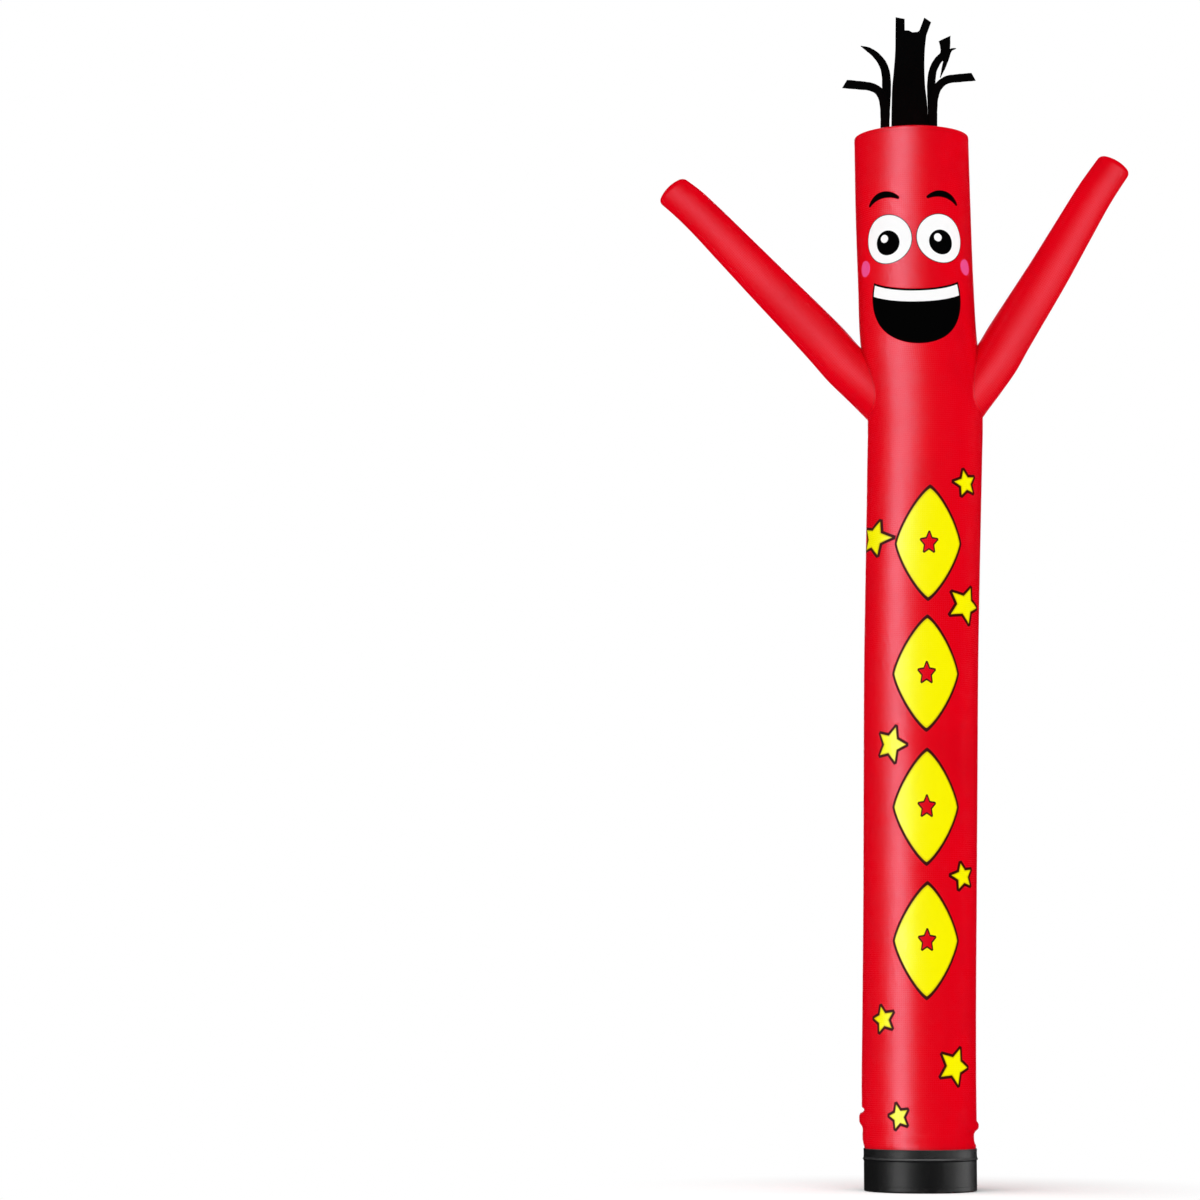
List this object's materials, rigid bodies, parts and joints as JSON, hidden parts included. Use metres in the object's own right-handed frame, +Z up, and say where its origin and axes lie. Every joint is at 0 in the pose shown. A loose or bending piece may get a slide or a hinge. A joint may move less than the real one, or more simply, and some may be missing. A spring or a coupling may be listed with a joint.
{
  "type": "inflatable air dancer",
  "caption": "Tall inflated nylon tube figure with raised arms, a domed crown with strips of cloth hair, and a black sleeve at its foot that fits over a blower.",
  "frame": {"origin": "on the floor, at the middle of the box that holds the whole figure; the sleeve's own centre is at x = 0.052", "axes": "+Z up along the tube, front with the face towards -Y, the arms spread along X"},
  "size_m": [1.2652, 0.3172, 3.1938],
  "materials": {
    "red_nylon": "thin coated red nylon, satin, printed in yellow, black, white and pink on its front",
    "black_coated": "black coated cloth with a soft sheen",
    "black_webbing": "black woven band",
    "black_nylon": "matt black nylon",
    "sewing_thread": "polyester sewing thread in the cloth's own colour"
  },
  "bodies": {
    "root": {"body_tube": "red_nylon", "head_cap": "red_nylon", "arm_left": "red_nylon", "arm_right": "red_nylon", "cuff": "black_coated", "cuff_strap": "black_webbing", "hair_centre": "black_nylon", "hair_left_outer": "black_nylon", "hair_left_inner": "black_nylon", "hair_right_inner": "black_nylon", "hair_right_outer": "black_nylon"}
  },
  "joints": []
}
